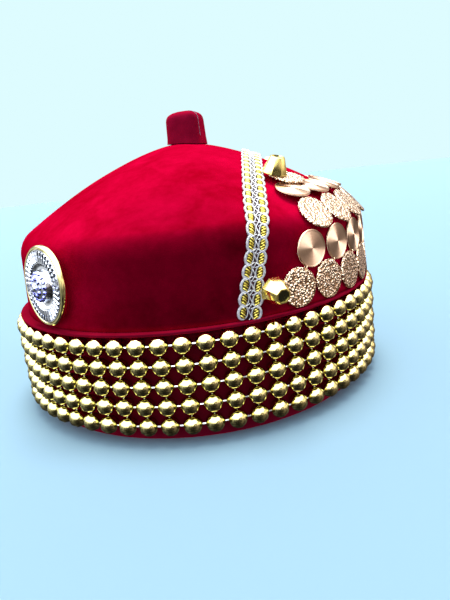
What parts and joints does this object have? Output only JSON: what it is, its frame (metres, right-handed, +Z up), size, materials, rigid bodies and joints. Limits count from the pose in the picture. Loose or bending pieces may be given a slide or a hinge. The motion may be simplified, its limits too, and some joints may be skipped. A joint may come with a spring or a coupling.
{
  "type": "chieftaincy hat",
  "caption": "Round red velvet cap with a low domed crown, a stub on top, strings of gold beads round the cuff, a loop braid, a round brooch and a bib of linked metal discs.",
  "frame": {"origin": "on the surface that the hat rests on, under the middle of the head opening", "axes": "+Z up, +X to the front of the hat, -Y to the wearer's right side, where the brooch is"},
  "size_m": [0.2086, 0.2086, 0.1504],
  "materials": {
    "red_velvet": "short pile velvet",
    "bead_gold": "polished gold plate",
    "stud_gold": "polished yellow gold plate",
    "gold_white_braid": "looped gimp with gold centres",
    "brooch_silver": "cut stones in plated metal",
    "hammered_champagne": "hammered champagne gold plate",
    "spun_rose_gold": "spun rose gold plate"
  },
  "bodies": {
    "root": {"bead_row_1": "bead_gold", "bead_row_2": "bead_gold", "bead_row_3": "bead_gold", "bead_row_4": "bead_gold", "bead_row_5": "bead_gold", "braid": "gold_white_braid", "brooch": "brooch_silver", "crown": "red_velvet", "cuff": "red_velvet", "disc_1_01": "hammered_champagne", "disc_1_02": "hammered_champagne", "disc_1_03": "hammered_champagne", "disc_1_04": "hammered_champagne", "disc_1_05": "hammered_champagne", "disc_1_06": "hammered_champagne", "disc_1_07": "hammered_champagne", "disc_1_08": "hammered_champagne", "disc_1_09": "hammered_champagne", "disc_1_10": "hammered_champagne", "disc_1_11": "hammered_champagne", "disc_2_01": "spun_rose_gold", "disc_2_02": "spun_rose_gold", "disc_2_03": "spun_rose_gold", "disc_2_04": "spun_rose_gold", "disc_2_05": "spun_rose_gold", "disc_2_06": "spun_rose_gold", "disc_2_07": "spun_rose_gold", "disc_2_08": "spun_rose_gold", "disc_2_09": "spun_rose_gold", "disc_2_10": "spun_rose_gold", "disc_3_01": "hammered_champagne", "disc_3_02": "hammered_champagne", "disc_3_03": "hammered_champagne", "disc_3_04": "hammered_champagne", "disc_3_05": "hammered_champagne", "disc_3_06": "hammered_champagne", "disc_3_07": "hammered_champagne", "disc_3_08": "hammered_champagne", "disc_3_09": "hammered_champagne", "disc_4_01": "spun_rose_gold", "disc_4_02": "spun_rose_gold", "disc_4_03": "spun_rose_gold", "disc_4_04": "spun_rose_gold", "disc_4_05": "spun_rose_gold", "disc_4_06": "spun_rose_gold", "disc_4_07": "spun_rose_gold", "disc_4_08": "spun_rose_gold", "disc_5_01": "hammered_champagne", "disc_5_02": "hammered_champagne", "stalk": "red_velvet", "stud_high_left": "stud_gold", "stud_high_right": "stud_gold", "stud_low_left": "stud_gold", "stud_low_right": "stud_gold"}
  },
  "joints": []
}
